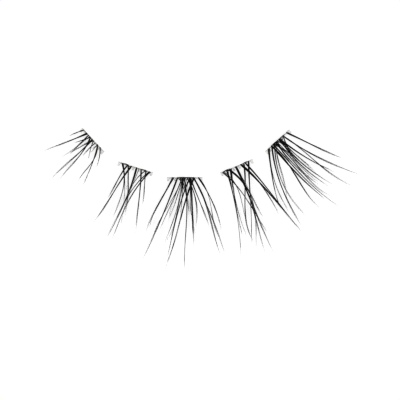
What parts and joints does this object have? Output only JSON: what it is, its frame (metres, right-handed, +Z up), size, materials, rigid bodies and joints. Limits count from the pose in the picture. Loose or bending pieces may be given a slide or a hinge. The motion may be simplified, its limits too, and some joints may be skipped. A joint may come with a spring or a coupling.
{
  "type": "segmented false eyelash strip",
  "caption": "False eyelash strip in loose segments: clear film bands with crossing tufts of tapered black lashes that curl up, short at the inner corner and full at the outer.",
  "frame": {"origin": "middle of the base of the whole strip's box, on the surface that the bands lie on", "axes": "+X from the inner corner's segment to the outer corner's, +Y from the lash tips to the bands, +Z up off the surface, the way the tips curl"},
  "size_m": [0.0504, 0.0226, 0.0055],
  "materials": {
    "film": "clear, slightly milky film with a satin surface",
    "lash_fibre": "black tapered synthetic fibre with a soft satin sheen"
  },
  "bodies": {
    "root": {"band_inner": "film", "band_inner_mid": "film", "band_middle": "film", "band_outer_mid": "film", "band_outer": "film", "lashes_inner_upright": "lash_fibre", "lashes_inner_nose": "lash_fibre", "lashes_inner_temple": "lash_fibre", "lashes_inner_mid_rising": "lash_fibre", "lashes_inner_mid_nose": "lash_fibre", "lashes_inner_mid_back": "lash_fibre", "lashes_middle_upright": "lash_fibre", "lashes_middle_nose": "lash_fibre", "lashes_middle_sweep": "lash_fibre", "lashes_middle_temple": "lash_fibre", "lashes_outer_mid_nose": "lash_fibre", "lashes_outer_mid_upright": "lash_fibre", "lashes_outer_mid_sweep": "lash_fibre", "lashes_outer_mid_temple": "lash_fibre", "lashes_outer_upright": "lash_fibre", "lashes_outer_nose": "lash_fibre", "lashes_outer_full": "lash_fibre", "lashes_outer_temple": "lash_fibre"}
  },
  "joints": []
}
